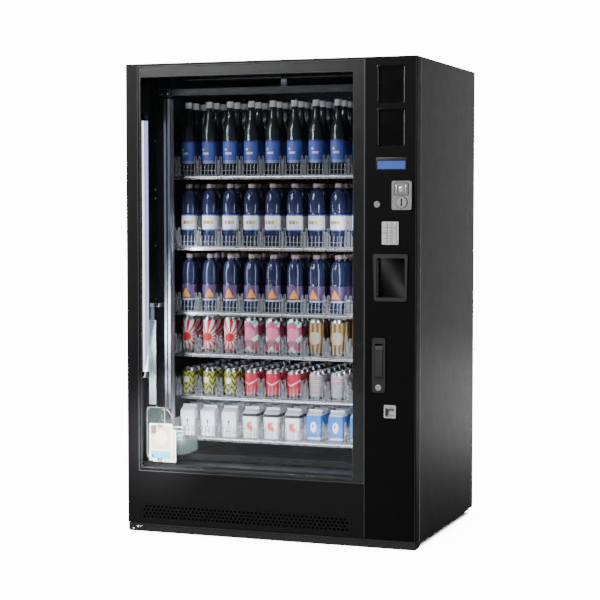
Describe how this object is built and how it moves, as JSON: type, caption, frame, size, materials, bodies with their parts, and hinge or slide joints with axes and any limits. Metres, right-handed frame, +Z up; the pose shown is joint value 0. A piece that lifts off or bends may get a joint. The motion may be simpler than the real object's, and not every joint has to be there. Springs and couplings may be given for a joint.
{
  "type": "vending machine",
  "caption": "Black glass-front drinks vending machine with lane shelves, a two-axis lift with a delivery cup, a hinged door and a control panel with a delivery port.",
  "frame": {"origin": "on the floor, at the middle of the footprint", "axes": "+X to the viewer's right, +Y from the door to the back, +Z up; the door faces -Y"},
  "size_m": [1.18, 0.86, 1.83],
  "materials": {
    "casing_black": "satin black powder coat with a fine texture",
    "rear_black": "matte black painted sheet",
    "door_black": "satin black powder coat",
    "panel_black": "satin black powder coat, very fine texture",
    "kick_black": "satin black painted sheet, perforated",
    "grille_black": "satin black painted sheet, perforated",
    "base_black": "dark painted steel",
    "liner_dark": "dark navy inner liner, low sheen",
    "foot_rubber": "black rubber and zinc stem",
    "cooling_black": "black enamel compressor and finned coil",
    "fan_plastic": "black moulded plastic",
    "lamp_white": "white diffuser, lit",
    "rail_grey": "dark anodised rail",
    "goods_glass": "dark green bottle glass with printed bands and white caps",
    "goods_bottle": "blue bottles with printed bands and white caps",
    "goods_can": null,
    "goods_carton": "printed cartons, white and blue",
    "card_print": "printed cards with a plain abstract pattern",
    "screw_zinc": "zinc-plated cross-head screws",
    "mast_aluminium": "extruded, fine brushed",
    "carriage_grey": "dark moulded plastic",
    "cup_clear": "clear greenish acrylic",
    "door_glass": "double glazing with a black border",
    "gasket_rubber": "black soft vinyl",
    "window_gloss": "gloss black recessed windows",
    "display_grey": "dark bezel",
    "die_cast": "silver hammered die casting",
    "lock_nickel": "satin nickel",
    "keypad_silver": "satin metal bezel",
    "key_silver": "satin metal keys with plain ridges",
    "port_grey": "dark grey moulded frame",
    "shutter_gloss": "gloss black shutter",
    "handle_grey": "dark grey moulded handle",
    "coin_cup_silver": "polished silver cup",
    "changer_grey": "grey coin changer housing",
    "shelf_aluminium": "bright extruded shelf rail and tray",
    "guide_clear": "clear moulded lane guides and gates"
  },
  "bodies": {
    "cabinet": {"outer_casing": "casing_black", "insulated_liner": "liner_dark", "back_panel": "rear_black", "base_frame": "base_black", "kick_plate": "kick_black", "foot_front_left": "foot_rubber", "foot_rear_left": "foot_rubber", "foot_front_right": "foot_rubber", "foot_rear_right": "foot_rubber", "cooling_unit": "cooling_black", "light_tube": "lamp_white", "top_rail": "rail_grey", "bottom_rail": "rail_grey", "shelf_tray_1": "shelf_aluminium", "shelf_tray_2": "shelf_aluminium", "shelf_tray_3": "shelf_aluminium", "shelf_tray_4": "shelf_aluminium", "shelf_tray_5": "shelf_aluminium", "shelf_tray_6": "shelf_aluminium", "lane_guides_1": "guide_clear", "lane_guides_2": "guide_clear", "lane_guides_3": "guide_clear", "lane_guides_4": "guide_clear", "lane_guides_5": "guide_clear", "lane_guides_6": "guide_clear"},
    "fan": {"condenser_fan": "fan_plastic"},
    "mast": {"lift_mast": "mast_aluminium"},
    "cup": {"cup_carriage": "carriage_grey", "delivery_cup": "cup_clear"},
    "door": {"door_frame": "door_black", "door_glass": "door_glass", "door_gasket": "gasket_rubber", "vent_grille": "grille_black", "control_panel": "panel_black", "window_upper": "window_gloss", "window_lower": "window_gloss", "display_module": "display_grey", "coin_plate": "die_cast", "keypad_bezel": "keypad_silver", "port_frame": "port_grey", "handle_plate": "handle_grey", "coin_cup": "coin_cup_silver", "coin_changer": "changer_grey"},
    "return_button": {"coin_return_button": "die_cast"},
    "panel_lock": {"lock_cylinder": "lock_nickel"},
    "shutter": {"port_shutter": "shutter_gloss"},
    "lever": {"handle_lever": "handle_grey"},
    "lever_lock": {"handle_lock": "lock_nickel"},
    "key_01": {"key_01": "key_silver"},
    "key_02": {"key_02": "key_silver"},
    "key_03": {"key_03": "key_silver"},
    "key_04": {"key_04": "key_silver"},
    "key_05": {"key_05": "key_silver"},
    "key_06": {"key_06": "key_silver"},
    "key_07": {"key_07": "key_silver"},
    "key_08": {"key_08": "key_silver"},
    "key_09": {"key_09": "key_silver"},
    "key_10": {"key_10": "key_silver"},
    "key_11": {"key_11": "key_silver"},
    "key_12": {"key_12": "key_silver"}
  },
  "joints": [
    {"name": "door_hinge", "type": "hinge", "parent": "cabinet", "child": "door", "pos_m": [-0.578, -0.386, 0.9], "axis": [0, 0, -1], "range_deg": [0, 115]},
    {"name": "lift_travel", "type": "slide", "parent": "cabinet", "child": "mast", "axis": [1, 0, 0], "range_m": [-0.0095, 0.923]},
    {"name": "cup_lift", "type": "slide", "parent": "mast", "child": "cup", "axis": [0, 0, 1], "range_m": [0, 1.11]},
    {"name": "fan_spin", "type": "hinge", "parent": "cabinet", "child": "fan", "pos_m": [0.09, -0.2725, 0.117], "axis": [0, 1, 0], "continuous": true},
    {"name": "shutter_lift", "type": "slide", "parent": "door", "child": "shutter", "axis": [0, 0, 1], "range_m": [0, 0.148]},
    {"name": "return_press", "type": "slide", "parent": "door", "child": "return_button", "axis": [0, 1, 0], "range_m": [0, 0.003], "stiffness_N_per_m": 400},
    {"name": "panel_lock_turn", "type": "hinge", "parent": "door", "child": "panel_lock", "pos_m": [0.437, -0.42, 1.286], "axis": [0, 1, 0], "range_deg": [0, 90]},
    {"name": "lever_tilt", "type": "hinge", "parent": "door", "child": "lever", "pos_m": [0.447, -0.416, 0.756], "axis": [-1, 0, 0], "range_deg": [0, 35]},
    {"name": "lever_lock_turn", "type": "hinge", "parent": "door", "child": "lever_lock", "pos_m": [0.445, -0.42, 0.605], "axis": [0, 1, 0], "range_deg": [0, 90]},
    {"name": "key_01_press", "type": "slide", "parent": "door", "child": "key_01", "axis": [0, 1, 0], "range_m": [0, 0.0015], "stiffness_N_per_m": 300},
    {"name": "key_02_press", "type": "slide", "parent": "door", "child": "key_02", "axis": [0, 1, 0], "range_m": [0, 0.0015], "stiffness_N_per_m": 300},
    {"name": "key_03_press", "type": "slide", "parent": "door", "child": "key_03", "axis": [0, 1, 0], "range_m": [0, 0.0015], "stiffness_N_per_m": 300},
    {"name": "key_04_press", "type": "slide", "parent": "door", "child": "key_04", "axis": [0, 1, 0], "range_m": [0, 0.0015], "stiffness_N_per_m": 300},
    {"name": "key_05_press", "type": "slide", "parent": "door", "child": "key_05", "axis": [0, 1, 0], "range_m": [0, 0.0015], "stiffness_N_per_m": 300},
    {"name": "key_06_press", "type": "slide", "parent": "door", "child": "key_06", "axis": [0, 1, 0], "range_m": [0, 0.0015], "stiffness_N_per_m": 300},
    {"name": "key_07_press", "type": "slide", "parent": "door", "child": "key_07", "axis": [0, 1, 0], "range_m": [0, 0.0015], "stiffness_N_per_m": 300},
    {"name": "key_08_press", "type": "slide", "parent": "door", "child": "key_08", "axis": [0, 1, 0], "range_m": [0, 0.0015], "stiffness_N_per_m": 300},
    {"name": "key_09_press", "type": "slide", "parent": "door", "child": "key_09", "axis": [0, 1, 0], "range_m": [0, 0.0015], "stiffness_N_per_m": 300},
    {"name": "key_10_press", "type": "slide", "parent": "door", "child": "key_10", "axis": [0, 1, 0], "range_m": [0, 0.0015], "stiffness_N_per_m": 300},
    {"name": "key_11_press", "type": "slide", "parent": "door", "child": "key_11", "axis": [0, 1, 0], "range_m": [0, 0.0015], "stiffness_N_per_m": 300},
    {"name": "key_12_press", "type": "slide", "parent": "door", "child": "key_12", "axis": [0, 1, 0], "range_m": [0, 0.0015], "stiffness_N_per_m": 300}
  ]
}
